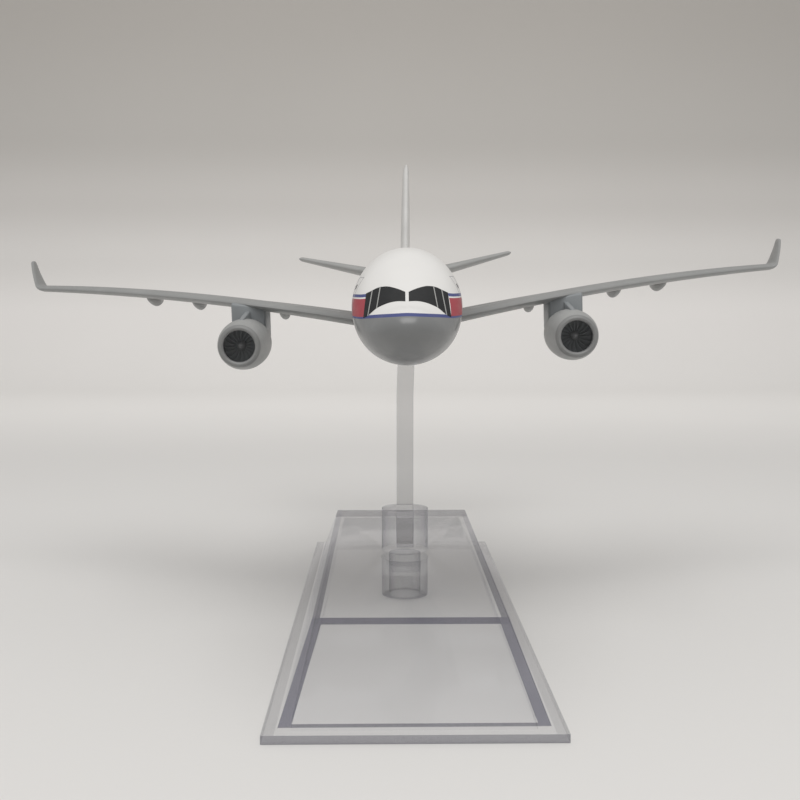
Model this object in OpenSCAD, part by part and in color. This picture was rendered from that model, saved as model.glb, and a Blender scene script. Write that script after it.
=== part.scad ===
// Desktop model of a twin-engine wide-body airliner on a clear stand.
// Frame: +Z up, nose towards -Y, origin on the table under the arm of the stand.
// The aircraft is drawn in its own frame (x to its left wing, y aft from the nose tip,
// z up from the cabin centreline) and then seated on the stand.

/* [Seat on the stand] */
// Height of the cabin centreline above the table, at the arm
seat_h = 56.8; // [50:0.1:75]
// Distance from the nose tip back to the arm
seat_aft = 72; // [71:0.5:74]
// Sideways bend of the arm's top
arm_bend = 0.3; // [0:0.1:1]
// How far the aircraft leans to its right on the peg, in degrees
bank = 1.7; // [-2:0.1:2]
// How far the nose hangs down, in degrees
nose_down = 1.9; // [-1:0.1:2]
// How far the nose is turned to its right, in degrees
heading = 1.15; // [-90:0.05:90]

/* [Fuselage] */
// Length of the aircraft
body_l = 160; // [155:1:165]
// Half width of the cabin
cabin_w = 7.55; // [7.4:0.05:7.8]
// Half height of the cabin
cabin_h = 8; // [7.9:0.05:8.2]
// Wall of the cast shells
wall = 1.5; // [1.2:0.1:1.8]
// Height of the joint between the upper and the lower shell
split_z = -1.25; // [-2:0.05:0]

/* [Wings] */
// Distance from the centreline to the root of a wing
root_x = 8.2; // [8.2:0.05:8.5]
// Distance from the centreline to the foot of a winglet
tip_x = 75.3; // [70:0.1:85]
// Distance from the nose to the leading edge at the root
root_y = 48; // [46:0.5:50]
// Distance aft for each millimetre outwards, along the leading edge
sweep = 0.65; // [0.6:0.01:0.68]
// Height of a winglet
winglet_h = 5.9; // [3:0.1:8]

/* [Engines] */
// Distance from the centreline to an engine's axis
engine_x = 28.4; // [27:0.1:30]
// Distance from the nose to the inlet lip
engine_y = 49; // [48:0.5:50]
// Height of an engine's axis
engine_z = -6.8; // [-7.2:0.1:-6.6]
// Largest radius of the cowl
cowl_r = 4.4; // [4.2:0.05:4.5]

/* [Tail] */
// Height of the fin's top above the centreline
fin_top = 32.8; // [28:0.1:36]
// How far the fin leans to the aircraft's left, in degrees
fin_lean = 2.3; // [0:0.1:3]
// Distance from the centreline to a stabiliser's tip
stab_x = 27.3; // [22:0.1:30]

/* [Stand] */
// Width of the base over its flange
base_w = 39; // [37:0.5:45]
// Length of the base over its flange
base_l = 115.5; // [105:0.5:125]
// Distance from the arm forward to the front edge of the base
base_front = 72.2; // [60:0.1:75]
// Thickness of the flange
flange_t = 1.2; // [1:0.1:1.5]
// Height of the deck
deck_h = 9; // [8:0.5:10]
// Width of the deck
deck_w = 29.2; // [26:0.2:31]
// Thickness of the moulded walls
base_wall = 1.5; // [1.2:0.1:1.8]
// Width of the arm, side to side
arm_w = 3.1; // [3:0.1:3.2]
// Depth of the arm, fore and aft
arm_d = 6; // [5.5:0.1:6]

/* [Hidden] */

$fn = 48;
gap = 0.05;

// Peg at the top of the arm, and the bush that it turns in
peg_r = 1.5;
peg_l = 5.5;
bush_r = 2.5;
bush_l = 7;
shoulder_z = seat_h - cabin_h - 0.85;
running = 0.04;

// Boss of the base that takes the arm
boss_r = 4.4;
boss_top = 17;
boss_foot = 0.3;
slot_floor = 9.9;

// Screws
wing_screw = [3.6, 62];
wing_screw_z = -6.35;
shell_screw_ys = [46, 94];
shell_screw_z = -7.88;
screw_r = 0.5;
head_r = 0.85;
head_h = 0.5;

// Wing roots, tabs and the carrier between them
root_z = -3.35;
tab_t = 1.4;
tab_y = 58;
tab_l = 16;
tab_in = 2.8;
carrier_w = 8.6;
carrier_y = 56;
carrier_l = 32;
carrier_t = 2.2;

// Tabs of the tail surfaces
stab_root_x = 4.95;
stab_root_z = 4.4;
stab_tab_y = 141;
stab_tab_l = 6;
fin_tab_y = 131;
fin_tab_l = 8;
tail_tab_t = 1.2;

// Fuselage stations: distance aft, half width, top and bottom
low_h = cabin_h - 0.05;
stations = [
    [0, 0, -2.5, -2.5],
    [0.35, 1.4, -1.5, -3.6],
    [1.2, 2.6, -0.75, -4.7],
    [2.6, 3.8, -0.05, -5.7],
    [4.5, 5, 0.5, -6.6],
    [6.5, 5.9, 2.05, -7.15],
    [9, 6.7, 4.15, -7.6],
    [12, 7.25, 6.15, -7.85],
    [15.5, cabin_w - 0.05, 7.45, -low_h],
    [20, cabin_w, cabin_h - 0.05, -low_h],
    [26, cabin_w, cabin_h, -low_h],
    [104, cabin_w, cabin_h, -low_h],
    [114, cabin_w - 0.1, cabin_h, -7.3],
    [125, 6.75, 7.95, -5],
    [137, 5.2, 7.6, -1.7],
    [148, 3.2, 6.85, 1.2],
    [156, 1.75, 5.9, 3],
    [body_l, 0.9, 5.2, 3.5]];
ring_ys = [0.02, 0.12, 0.35, 0.7, 1.2, 1.8, 2.6, 3.5, 4.5, 5.5, 6.5, 7.7, 9, 10.5, 12, 13.7,
    15.5, 17.5, 20, 26, 104, 109, 114, 119.5, 125, 131, 137, 142.5, 148, 152, 156, 158.2, body_l];

// Belly fairing: where it starts, where it is full, where it thins out and where it ends
fairing_ys = [36, 48, 82, 98];
fairing_rings = [36, 39, 42, 45, 48, 82, 85.5, 89.5, 93.5, 98];
fairing_inner_top = 9.5;
fairing_n = 14;

// Smooth curve through the stations, run on the square root of the distance so the nose is round
function run(i) = sqrt(stations[i][0]);
last = len(stations) - 1;
function slope(i, c) = let (a = max(i - 1, 0), b = min(i + 1, last))
    (stations[b][c] - stations[a][c]) / (run(b) - run(a));
function segment(s, i = 0) = i >= last - 1 || s <= run(i + 1) ? i : segment(s, i + 1);
function cubic(p, q, m, n, h, t) = (2 * t^3 - 3 * t^2 + 1) * p + (t^3 - 2 * t^2 + t) * h * m
    + (3 * t^2 - 2 * t^3) * q + (t^3 - t^2) * h * n;
function body(y, c) = let (s = sqrt(y), i = segment(s), h = run(i + 1) - run(i))
    cubic(stations[i][c], stations[i + 1][c], slope(i, c), slope(i + 1, c), h, (s - run(i)) / h);
function body_w(y) = body(y, 1);
function body_mid(y) = (body(y, 2) + body(y, 3)) / 2;
function body_tall(y) = (body(y, 2) - body(y, 3)) / 2;

// Opening of the joint between the shells, in degrees
joint_angle = 0.3;

// Angle of the joint between the shells: level along the cabin, then rising with the tail cone
function split_angle(y) = let (r = min(y, 104))
    asin(min(0.75, (split_z - body_mid(r)) / body_tall(r)));

// A point on the ring at y, at an angle, with the skin moved outwards by d
function moved(r, d) = max(r + d, 0.35 * r);
function ring_point(y, angle, d = 0) = [
    moved(body_w(y), d) * cos(angle),
    y,
    body_mid(y) + moved(body_tall(y), d) * sin(angle)];

// One wall section between two angles: out along the skin and back along the inside
function wall_ring(y, from, to, outer, inner) = concat(
    [for (i = [0 : outer]) ring_point(y, from + (to - from) * i / outer)],
    [for (i = [0 : inner]) ring_point(y, to + (from - to) * i / inner, -wall)]);

// Solid through rings of points
module loft(rings) {
    n = len(rings[0]);
    m = len(rings);
    sides = [for (j = [0 : m - 2]) for (i = [0 : n - 1]) let (k = (i + 1) % n)
        each [[j * n + i, j * n + k, (j + 1) * n + i], [j * n + k, (j + 1) * n + k, (j + 1) * n + i]]];
    polyhedron([for (r = rings) each r],
        concat([[for (i = [n - 1 : -1 : 0]) i]], sides, [[for (i = [0 : n - 1]) (m - 1) * n + i]]),
        convexity = 6);
}

// Airfoil ring of unit chord, from the trailing edge below to the nose and back over the top
foil_n = 9;
function foil_half(t, u) = t * 5 * (0.2969 * sqrt(u) - 0.126 * u - 0.3516 * u^2 + 0.2843 * u^3
    - 0.0936 * u^4);
function foil(t) = let (us = [for (i = [0 : foil_n]) (1 + cos(180 * i / foil_n)) / 2]) concat(
    [for (u = us) [u, -0.8 * foil_half(t, u) - 0.012]],
    [for (i = [foil_n - 1 : -1 : 0]) [us[i], foil_half(t, us[i]) + 0.012]]);

// Foil ring set in space: leading edge point, chord, thickness ratio, twist and cant
function foil_ring(le, chord, t, twist, cant) = [for (p = foil(t))
    let (a = chord * (p[0] * cos(twist) + p[1] * sin(twist)),
         b = chord * (p[1] * cos(twist) - p[0] * sin(twist)))
    [le[0] - b * sin(cant), le[1] + a, le[2] + b * cos(cant)]];

// Planform of the wing
kink_x = 26;
function lead_y(x) = root_y + sweep * (x - root_x);
function trail_y(x) = x < kink_x ? 77.5 + 3 * (x - root_x) / (kink_x - root_x)
    : 80.5 + 20.3 * (x - kink_x) / (tip_x - kink_x);
function wing_z(x) = let (s = x - root_x) root_z + 0.169 * s - 0.00093 * s^2;
function twist_at(x) = 2 - 1.5 * x / tip_x;
function thick_at(x) = 0.08 + 0.07 * (x / tip_x)^1.5;
function wing_ring(x) = let (c = trail_y(x) - lead_y(x), tw = twist_at(x))
    foil_ring([x, lead_y(x), wing_z(x) + 0.4 * c * sin(tw)], c, thick_at(x), tw,
        x > root_x ? 7 : 0);

// Winglet rings climb from the wing's end: height share, outward share, chord
winglet_steps = [[0.06, 0.25, 7], [0.22, 0.5, 6], [0.6, 0.75, 4.4], [1, 1, 2.6]];
winglet_out = 3.35;
function winglet_ring(s) = foil_ring(
    [tip_x + 0.7 + winglet_out * s[1], lead_y(tip_x) + 0.6 + 6.4 * s[0], wing_z(tip_x) + winglet_h * s[0]],
    s[2], 0.11 + 0.05 * s[0], 0, s[0] < 0.1 ? 40 : 76);

// Places an aircraft piece on the stand
module seated() {
    translate([arm_bend, 0, seat_h])
        rotate([nose_down, -bank, -heading])
            translate([0, -seat_aft, 0])
                children();
}

module left_and_right() {
    children();
    mirror([1, 0, 0]) children();
}

// Hole for a screw whose head starts at this height, with its counterbore
module screw_hole() {
    translate([0, 0, -2.5]) cylinder(r = screw_r + gap, h = 6, $fn = 24);
    translate([0, 0, -2.5]) cylinder(r = head_r + gap, h = head_h + 2.52, $fn = 24);
}

module bush_hole() {
    translate([arm_bend, 0, shoulder_z - 3]) cylinder(r = bush_r + 0.03, h = bush_l + 3.1);
}

module fuselage_upper() {
    color("white") difference() {
        seated() difference() {
            union() {
                loft([for (y = ring_ys) let (a = split_angle(y) + joint_angle)
                    wall_ring(y, a, 180 - a, 20, 12)]);
                for (y = shell_screw_ys)
                    translate([0, y, -4]) cylinder(r = 1.8, h = cabin_h + 3.2, $fn = 24);
            }
            for (y = shell_screw_ys)
                translate([0, y, -4.1]) cylinder(r = screw_r + gap, h = 5, $fn = 24);
            translate([-tail_tab_t / 2 - gap, fin_tab_y - gap, 3])
                cube([tail_tab_t + 2 * gap, fin_tab_l + 2 * gap, 8]);
            translate([-8, stab_tab_y - gap, stab_root_z - tail_tab_t / 2 - gap])
                cube([16, stab_tab_l + 2 * gap, tail_tab_t + 2 * gap]);
        }
    }
}

module fuselage_lower() {
    color("silver") difference() {
        seated() difference() {
            loft([for (y = ring_ys) let (a = split_angle(y))
                wall_ring(y, -180 - a, a, 20, 12)]);
            translate([-12, tab_y - gap, root_z - tab_t / 2 - gap])
                cube([24, tab_l + 2 * gap, tab_t + 2 * gap]);
            for (y = shell_screw_ys) translate([0, y, shell_screw_z]) screw_hole();
            left_and_right() translate([wing_screw[0], wing_screw[1], wing_screw_z]) screw_hole();
        }
        bush_hole();
    }
}

// Share of the fairing's fullness at y, from 0 to 1
function ease(t) = let (u = max(0, min(1, t))) u * u * (3 - 2 * u);
function fullness(y) = ease((y - fairing_ys[0]) / (fairing_ys[1] - fairing_ys[0]))
    * (1 - ease((y - fairing_ys[2]) / (fairing_ys[3] - fairing_ys[2])));
function fairing_point(y, angle) = let (f = fullness(y), e = 1 - 0.5 * f) [
    sign(cos(angle)) * (body_w(y) + 0.45 + 0.17 * f) * abs(cos(angle))^e,
    y,
    body_mid(y) - (body_tall(y) + 0.45 + 0.25 * f) * abs(sin(angle))^e];
function fairing_ring(y) = let (a = 10 - 7 * fullness(y), b = fairing_inner_top, n = fairing_n)
    concat(
        [for (i = [0 : n]) fairing_point(y, a - 180 + (180 - 2 * a) * i / n)],
        [for (i = [0 : n]) ring_point(y, -b - (180 - 2 * b) * i / n, gap)]);

module belly_fairing() {
    color("silver") difference() {
        seated() difference() {
            mirror([1, 0, 0]) loft([for (y = fairing_rings) fairing_ring(y)]);
            translate([-12, tab_y - gap, root_z - tab_t / 2 - gap])
                cube([24, tab_l + 2 * gap, tab_t + 2 * gap]);
        }
        translate([arm_bend, 0, shoulder_z - 3]) linear_extrude(bush_l + 3.1)
            polygon([for (i = [0 : 31]) (bush_r + 0.05) * [cos(i * 11.25), sin(i * 11.25)]]);
    }
}

module wing_carrier() {
    color("dimgray") difference() {
        seated() difference() {
            translate([-carrier_w / 2, carrier_y, root_z + tab_t / 2 + gap])
                cube([carrier_w, carrier_l, carrier_t]);
            left_and_right() translate([wing_screw[0], wing_screw[1], -7])
                cylinder(r = screw_r + 0.02, h = 8, $fn = 24);
        }
        bush_hole();
    }
}

module screw(l) {
    cylinder(r = head_r, h = head_h, $fn = 24);
    cylinder(r = screw_r, h = l, $fn = 24);
}

module wing_screws() {
    color("gray") seated() left_and_right()
        translate([wing_screw[0], wing_screw[1], wing_screw_z]) screw(5.5);
}

module shell_screws() {
    color("gray") seated() for (y = shell_screw_ys)
        translate([0, y, shell_screw_z]) screw(8.2);
}

// Canoe-shaped cover of a flap track, hung under the trailing edge
track_xs = [24.5, 42.4, 52.1];
module flap_track(x) {
    z = wing_z(x);
    y = trail_y(x);
    hull() {
        translate([x, y - 8, z - 0.9]) sphere(r = 0.6, $fn = 16);
        translate([x, y - 0.5, z - 1.9]) sphere(r = 1, $fn = 16);
    }
    hull() {
        translate([x, y - 0.5, z - 1.9]) sphere(r = 1, $fn = 16);
        translate([x, y + 5, z - 1.6]) sphere(r = 0.35, $fn = 16);
    }
}

module wing() {
    difference() {
        union() {
            loft(concat(
                [for (x = [root_x, 13, 19, kink_x, 33, 40, 50, 60, 70, tip_x]) wing_ring(x)],
                [for (s = winglet_steps) winglet_ring(s)]));
            for (x = track_xs) flap_track(x);
            translate([tab_in, tab_y, root_z - tab_t / 2]) cube([root_x - tab_in + 1, tab_l, tab_t]);
        }
        translate([wing_screw[0], wing_screw[1], -9]) cylinder(r = screw_r + gap, h = 8, $fn = 24);
    }
}

module left_wing() {
    color("lightslategray") seated() wing();
}

module right_wing() {
    color("lightslategray") seated() mirror([1, 0, 0]) wing();
}

// Things that lie along an engine's axis
module on_engine_axis(y) {
    translate([engine_x, y, engine_z]) rotate([-90, 0, 0]) children();
}

cowl_l = 13;
duct_r = 3.1;
module nacelle() {
    on_engine_axis(engine_y) rotate_extrude() polygon([
        [2.6, 0.7], [2.72, 0.2], [3, 0], [3.25, 0.1], [3.6, 0.6], [4.05, 2.6], [4.3, 4.5],
        [cowl_r, 7], [4.3, 10], [3.95, cowl_l], [3.6, cowl_l], [duct_r, 9], [duct_r, 2.2]]);
}

module left_nacelle() {
    color("silver") seated() nacelle();
}

module right_nacelle() {
    color("silver") seated() mirror([1, 0, 0]) nacelle();
}

fan_blades = 16;
module fan() {
    on_engine_axis(engine_y + 3.4) {
        cylinder(r = duct_r - gap, h = 0.5);
        translate([0, 0, -0.5]) rotate_extrude()
            polygon([[0, -1.3], [0.45, -0.75], [0.8, 0], [0.8, 0.6], [0, 0.6]]);
        for (i = [0 : fan_blades - 1]) rotate([0, 0, i * 360 / fan_blades])
            translate([0.6, -0.1, -0.3]) cube([2.2, 0.2, 0.4]);
        translate([0, 0, 0.4]) cylinder(r = 0.9, h = 4);
    }
}

module left_fan() {
    color("dimgray") seated() fan();
}

module right_fan() {
    color("dimgray") seated() mirror([1, 0, 0]) fan();
}

core_r = 2.6;
module core() {
    on_engine_axis(engine_y + 8) {
        cylinder(r = duct_r - gap, h = 0.9);
        rotate_extrude() polygon([[0, 0], [core_r, 0], [core_r, 9], [2.1, 12.5], [1.8, 12.5], [0, 16.5]]);
    }
}

module left_core() {
    color("dimgray") seated() core();
}

module right_core() {
    color("dimgray") seated() mirror([1, 0, 0]) core();
}

// Pylon: a thin ridge on the cowl, then a block as wide as the engine that sits over the core
pylon_half = 3;
pylon_top = wing_z(engine_x) - 1.12;
pylon_tilt = 0.14;
module pylon_slice(y, half, foot) {
    translate([engine_x, y + 1, 0]) rotate([90, 0, 0]) linear_extrude(1) polygon([
        [-half, foot], [half, foot], [half, pylon_top + pylon_tilt * half],
        [-half, pylon_top - pylon_tilt * half]]);
}
module pylon() {
    difference() {
        union() {
            translate([engine_x - 0.5, 0, 0]) rotate([90, 0, 90]) linear_extrude(1) polygon([
                [engine_y + 4, engine_z + 3], [engine_y + 6, engine_z + 4.7], [engine_y + 12.2, pylon_top],
                [engine_y + 14, pylon_top], [engine_y + 14, engine_z + 3]]);
            hull() {
                pylon_slice(engine_y + 12.2, pylon_half, engine_z);
                pylon_slice(engine_y + 18, pylon_half, engine_z);
                pylon_slice(engine_y + 27, 2, pylon_top - 1);
            }
        }
        on_engine_axis(engine_y - 5) cylinder(r = cowl_r + gap, h = cowl_l + 5 + gap);
        on_engine_axis(engine_y) cylinder(r = core_r + gap, h = 40);
    }
}

module left_pylon() {
    color("gray") seated() pylon();
}

module right_pylon() {
    color("gray") seated() mirror([1, 0, 0]) pylon();
}

// The fin and stabilisers run from a root chord to a tip chord: [leading edge, chord]
fin_root = [127, 23];
fin_tip = [149.5, 8];
function fin_ring(s) = let (c = fin_root[1] + (fin_tip[1] - fin_root[1]) * s,
    y = fin_root[0] + (fin_tip[0] - fin_root[0]) * s)
    [for (p = foil(0.1 + 0.1 * s)) [-c * (p[1] - 0.004), y + c * p[0], 6 + (fin_top - 6) * s]];
module fin() {
    color("white") seated() {
        difference() {
            translate([0, 0, cabin_h]) rotate([0, fin_lean, 0]) translate([0, 0, -cabin_h])
                loft([for (s = [0, 0.5, 1]) fin_ring(s)]);
            translate([0, fin_root[0] - 10, 0]) rotate([90, 0, 90]) translate([0, 0, -5]) linear_extrude(10)
                polygon([[0, 0], for (y = [fin_root[0] - 8 : 3 : 157])
                    [y - fin_root[0] + 10, body(y, 2) + gap], [50, 0]]);
        }
        translate([-tail_tab_t / 2, fin_tab_y, 4.4]) cube([tail_tab_t, fin_tab_l, 4.4]);
    }
}

stab_root = [137, 15];
stab_tip = [148, 5.6];
stab_rise = 5.2;
stab_trim = 3.5;
module stabiliser() {
    loft([for (s = [0, 0.5, 1]) let (c = stab_root[1] + (stab_tip[1] - stab_root[1]) * s)
        foil_ring([stab_root_x + (stab_x - stab_root_x) * s,
            stab_root[0] + (stab_tip[0] - stab_root[0]) * s, stab_root_z + stab_rise * s + c * 0.02],
            c, 0.2, stab_trim, 13)]);
    translate([2, stab_tab_y, stab_root_z - tail_tab_t / 2])
        cube([stab_root_x - 1.6, stab_tab_l, tail_tab_t]);
}

module left_stabiliser() {
    color("lightgray") seated() stabiliser();
}

module right_stabiliser() {
    color("lightgray") seated() mirror([1, 0, 0]) stabiliser();
}

module peg_bush() {
    color("black") translate([arm_bend, 0, shoulder_z]) difference() {
        cylinder(r = bush_r, h = bush_l);
        translate([0, 0, -1]) cylinder(r = peg_r + running, h = peg_l + 1.2);
    }
}

// The arm's outline from the front, bent a little near its top
module stand_arm() {
    bend_z = shoulder_z - 9;
    color("gainsboro") {
        translate([0, arm_d / 2, 0]) rotate([90, 0, 0]) linear_extrude(arm_d) polygon([
            [-arm_w / 2, slot_floor + gap], [arm_w / 2, slot_floor + gap], [arm_w / 2, bend_z],
            [arm_w / 2 + arm_bend, shoulder_z - gap], [-arm_w / 2 + arm_bend, shoulder_z - gap],
            [-arm_w / 2, bend_z]]);
        translate([arm_bend, 0, shoulder_z - 1]) cylinder(r = peg_r, h = peg_l + 1);
    }
}

// Raised body of the base, pulled in by t on every side and below the deck
module raised_body(t) {
    foot_w = base_w - 2 * 2;
    ridge_y = 25.2;
    intersection() {
        translate([0, base_l, 0]) rotate([90, 0, 0]) linear_extrude(base_l) polygon([
            [-foot_w / 2 + t, -1], [foot_w / 2 - t, -1], [foot_w / 2 - t, flange_t],
            [deck_w / 2 - t, deck_h - t], [-deck_w / 2 + t, deck_h - t], [-foot_w / 2 + t, flange_t]]);
        translate([-base_w / 2, 0, 0]) rotate([90, 0, 90]) linear_extrude(base_w) polygon([
            [2.2 + t * 1.6, -1], [2.2 + t * 1.6, flange_t - t * 0.5], [ridge_y + t * 0.4, deck_h - t],
            [base_l - 1.9 - t, deck_h - t], [base_l - 1.3 - t, -1]]);
    }
}

module stand_base() {
    color("gainsboro") difference() {
        union() {
            translate([0, -base_front, 0]) difference() {
                union() {
                    translate([-base_w / 2, 0, 0]) cube([base_w, base_l, flange_t]);
                    intersection() {
                        raised_body(0);
                        translate([-base_w, -base_w, 0]) cube([2 * base_w, 2 * base_l, 2 * deck_h]);
                    }
                }
                raised_body(base_wall);
            }
            translate([0, 0, boss_foot]) cylinder(r = boss_r, h = boss_top - boss_foot);
        }
        translate([-arm_w / 2 - gap, -arm_d / 2 - gap, slot_floor])
            cube([arm_w + 2 * gap, arm_d + 2 * gap, boss_top]);
        translate([0, 0, -1]) cylinder(r = 3, h = slot_floor - 0.5);
    }
}

stand_base();
stand_arm();
peg_bush();
fuselage_upper();
fuselage_lower();
belly_fairing();
wing_carrier();
left_wing();
right_wing();
wing_screws();
shell_screws();
left_pylon();
right_pylon();
left_nacelle();
right_nacelle();
left_fan();
right_fan();
left_core();
right_core();
fin();
left_stabiliser();
right_stabiliser();
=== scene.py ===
import math

import bmesh
import bpy
from mathutils import Matrix, Vector


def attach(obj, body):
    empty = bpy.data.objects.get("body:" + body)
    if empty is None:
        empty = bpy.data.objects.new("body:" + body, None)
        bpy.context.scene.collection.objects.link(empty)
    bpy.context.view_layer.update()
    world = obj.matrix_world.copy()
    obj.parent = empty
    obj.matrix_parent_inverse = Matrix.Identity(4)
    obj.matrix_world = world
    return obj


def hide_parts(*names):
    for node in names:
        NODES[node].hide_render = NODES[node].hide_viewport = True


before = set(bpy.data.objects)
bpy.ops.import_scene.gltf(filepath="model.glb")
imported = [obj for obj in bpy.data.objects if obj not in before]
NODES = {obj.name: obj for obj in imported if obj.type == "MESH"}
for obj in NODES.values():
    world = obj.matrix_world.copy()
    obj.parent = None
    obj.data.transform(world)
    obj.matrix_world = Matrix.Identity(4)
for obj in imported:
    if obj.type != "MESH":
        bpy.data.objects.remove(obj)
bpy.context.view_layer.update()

# Sizes are in millimetres. The aircraft's are in its own frame: x to its left wing, y aft from the
# nose tip, z up from the cabin's centreline. The stand's are in the frame shared with the CAD.
MM = 0.001
SEAT_H = 56.8
SEAT_AFT = 72.0
ARM_BEND = 0.3
BANK = 1.7
NOSE_DOWN = 1.9
HEADING = 1.15


def turn(angle, axis):
    return Matrix.Rotation(math.radians(angle), 4, axis)


SEAT = (
    Matrix.Translation((ARM_BEND, 0, SEAT_H))
    @ turn(-HEADING, "Z")
    @ turn(-BANK, "Y")
    @ turn(NOSE_DOWN, "X")
    @ Matrix.Translation((0, -SEAT_AFT, 0))
)
UPRIGHT = Matrix.Identity(4)


# ---------------------------------------------------------------- fuselage surface
CABIN_W = 7.55
CABIN_H = 8.0
LOW_H = 7.95
BODY_L = 160.0
WALL = 1.5
SPLIT_Z = -1.25
STATIONS = [
    (0, 0, -2.5, -2.5),
    (0.35, 1.4, -1.5, -3.6),
    (1.2, 2.6, -0.75, -4.7),
    (2.6, 3.8, -0.05, -5.7),
    (4.5, 5, 0.5, -6.6),
    (6.5, 5.9, 2.05, -7.15),
    (9, 6.7, 4.15, -7.6),
    (12, 7.25, 6.15, -7.85),
    (15.5, CABIN_W - 0.05, 7.45, -LOW_H),
    (20, CABIN_W, CABIN_H - 0.05, -LOW_H),
    (26, CABIN_W, CABIN_H, -LOW_H),
    (104, CABIN_W, CABIN_H, -LOW_H),
    (114, CABIN_W - 0.1, CABIN_H, -7.3),
    (125, 6.75, 7.95, -5),
    (137, 5.2, 7.6, -1.7),
    (148, 3.2, 6.85, 1.2),
    (156, 1.75, 5.9, 3),
    (BODY_L, 0.9, 5.2, 3.5),
]
RUNS = [math.sqrt(s[0]) for s in STATIONS]
LAST = len(STATIONS) - 1


def slope(i, c):
    a, b = max(i - 1, 0), min(i + 1, LAST)
    return (STATIONS[b][c] - STATIONS[a][c]) / (RUNS[b] - RUNS[a])


def hermite(p, q, m, n, h, t):
    return (
        (2 * t**3 - 3 * t**2 + 1) * p
        + (t**3 - 2 * t**2 + t) * h * m
        + (3 * t**2 - 2 * t**3) * q
        + (t**3 - t**2) * h * n
    )


def body(y):
    """Half width, middle height and half height of the fuselage at y."""
    s = math.sqrt(max(y, 0))
    i = 0
    while i < LAST - 1 and s > RUNS[i + 1]:
        i += 1
    h = RUNS[i + 1] - RUNS[i]
    t = (s - RUNS[i]) / h
    w, top, low = (
        hermite(STATIONS[i][c], STATIONS[i + 1][c], slope(i, c), slope(i + 1, c), h, t)
        for c in (1, 2, 3)
    )
    return w, (top + low) / 2, (top - low) / 2


def skin(y, angle, out=0.0):
    """A point on the fuselage at y and an angle in degrees, moved out from the surface."""
    w, mid, tall = body(y)
    w, tall = max(w + out, 0.35 * w), max(tall + out, 0.35 * tall)
    a = math.radians(angle)
    return Vector((w * math.cos(a), y, mid + tall * math.sin(a)))


def skin_normal(y, angle):
    da = (skin(y, angle + 0.5) - skin(y, angle - 0.5)).normalized()
    e = min(0.05, y * 0.5)
    dy = (skin(y + e, angle) - skin(y - e, angle)).normalized()
    n = dy.cross(da)
    centre = Vector((0, y + 4, body(y)[1]))
    return n if n.dot(skin(y, angle) - centre) > 0 else -n


def nose_spot(x, z):
    """Where the line straight aft at x, z of the print meets the nose, as y and angle."""
    x, z = printed(x, z)
    near, far = 0.0, 26.0
    for _ in range(40):
        y = (near + far) / 2
        w, mid, tall = body(y)
        if (x / w) ** 2 + ((z - mid) / tall) ** 2 < 1:
            far = y
        else:
            near = y
    w, mid, tall = body(far)
    return far, math.degrees(math.atan2((z - mid) / tall, x / w))


def side_spot(y, z, side):
    """The skin's angle at a height, on the left (1) or the right (-1) side."""
    w, mid, tall = body(y)
    a = math.degrees(math.asin(max(-1, min(1, (z - mid) / tall))))
    return y, PRINT_TURN + (a if side > 0 else 180 - a)


def split_angle(y):
    w, mid, tall = body(min(y, 104))
    return math.degrees(math.asin(min(0.75, (SPLIT_Z - mid) / tall)))


def line_height(x):
    """Height of the livery's lower line near the nose."""
    return -0.96 - 0.49 * (min(abs(x), 6) / 6) ** 1.4


# The print sits turned a little on the casting, in degrees
PRINT_TURN = -1.1


def printed(x, z):
    """A place on the print, as a place on the casting."""
    a = math.radians(PRINT_TURN)
    return x * math.cos(a) - z * math.sin(a), x * math.sin(a) + z * math.cos(a)


CABIN_MID = (CABIN_H - LOW_H) / 2
CABIN_TALL = (CABIN_H + LOW_H) / 2


def over_line(p):
    """Height of a point over the livery's lower line, drawn in with the tail cone."""
    a = math.radians(PRINT_TURN)
    x, z = p.x * math.cos(a) + p.z * math.sin(a), p.z * math.cos(a) - p.x * math.sin(a)
    if p.y < 26:
        return z - line_height(x)
    w, mid, tall = body(p.y)
    ratio = (line_height(CABIN_W) - CABIN_MID) / CABIN_TALL
    return ((z - mid) / tall - ratio) * CABIN_TALL


# ---------------------------------------------------------------- mesh helpers
def new_object(name, verts, faces, place=SEAT, sharp=35):
    mesh = bpy.data.meshes.new(name)
    mesh.from_pydata([(place @ Vector(v)) * MM for v in verts], [], faces)
    mesh.validate()
    bm = bmesh.new()
    bm.from_mesh(mesh)
    bmesh.ops.recalc_face_normals(bm, faces=bm.faces)
    bm.to_mesh(mesh)
    bm.free()
    return add_object(name, mesh, sharp)


def add_object(name, mesh, sharp=35):
    mesh.shade_smooth()
    mesh.set_sharp_from_angle(angle=math.radians(sharp))
    obj = bpy.data.objects.new(name, mesh)
    bpy.context.scene.collection.objects.link(obj)
    return obj


def finish_piece(obj, body_name, slot_name, mats, *nodes):
    for m in mats:
        obj.data.materials.append(m)
    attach(obj, body_name)
    if nodes:
        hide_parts(*nodes)
    return obj


def loft(rings, caps=True):
    """Vertices and faces of a closed solid through rings of equal length."""
    n, m = len(rings[0]), len(rings)
    verts = [p for r in rings for p in r]
    faces = [
        (j * n + i, j * n + (i + 1) % n, (j + 1) * n + (i + 1) % n, (j + 1) * n + i)
        for j in range(m - 1)
        for i in range(n)
    ]
    if caps:
        faces.append(tuple(reversed(range(n))))
        faces.append(tuple((m - 1) * n + i for i in range(n)))
    return verts, faces


def shell_caps(n, m):
    """End faces of a lofted C-section whose two halves have the same count."""
    half = n // 2
    faces = []
    for base in (0, (m - 1) * n):
        for i in range(half - 1):
            faces.append((base + i, base + i + 1, base + n - 2 - i, base + n - 1 - i))
    return faces


def join_parts(parts):
    verts, faces = [], []
    for v, f in parts:
        k = len(verts)
        verts += list(v)
        faces += [tuple(i + k for i in face) for face in f]
    return verts, faces


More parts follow.
